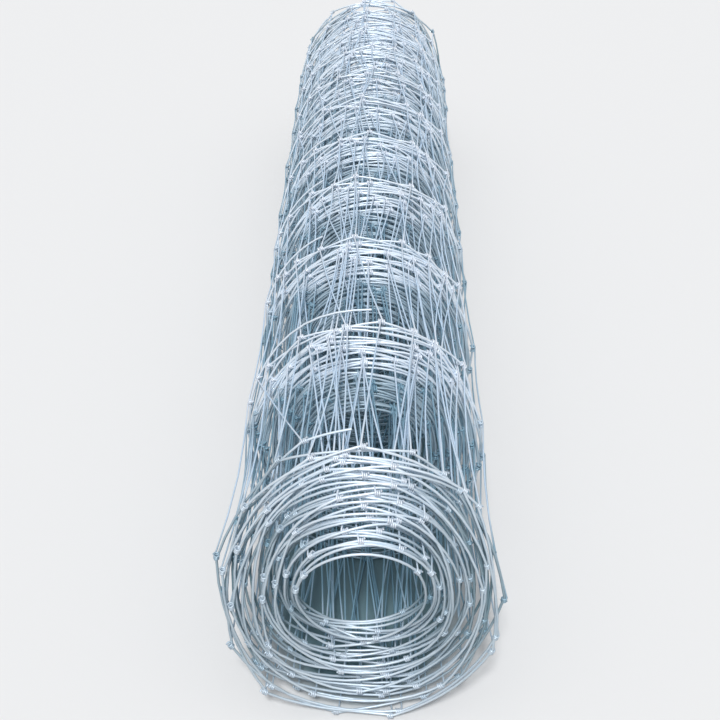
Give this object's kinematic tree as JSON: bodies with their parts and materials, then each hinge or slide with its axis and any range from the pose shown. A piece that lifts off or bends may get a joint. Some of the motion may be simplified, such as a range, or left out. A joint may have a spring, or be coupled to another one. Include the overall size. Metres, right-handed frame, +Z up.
{
  "type": "roll of woven wire fencing",
  "caption": "Roll of galvanized woven wire field fence lying on its side, with graduated bands of line wires, wound turns on its ends and an open bore for a spindle.",
  "frame": {"origin": "on the ground under the middle of the roll", "axes": "+Z up; +Y along the axis of the roll, from the edge with widely spaced line wires to the edge with closely spaced ones; +X across"},
  "size_m": [0.3229, 1.5328, 0.3231],
  "materials": {
    "galvanized_wire": "hot-dip galvanized, dull silver-blue"
  },
  "bodies": {
    "root": {"fence_roll": "galvanized_wire"}
  },
  "joints": []
}
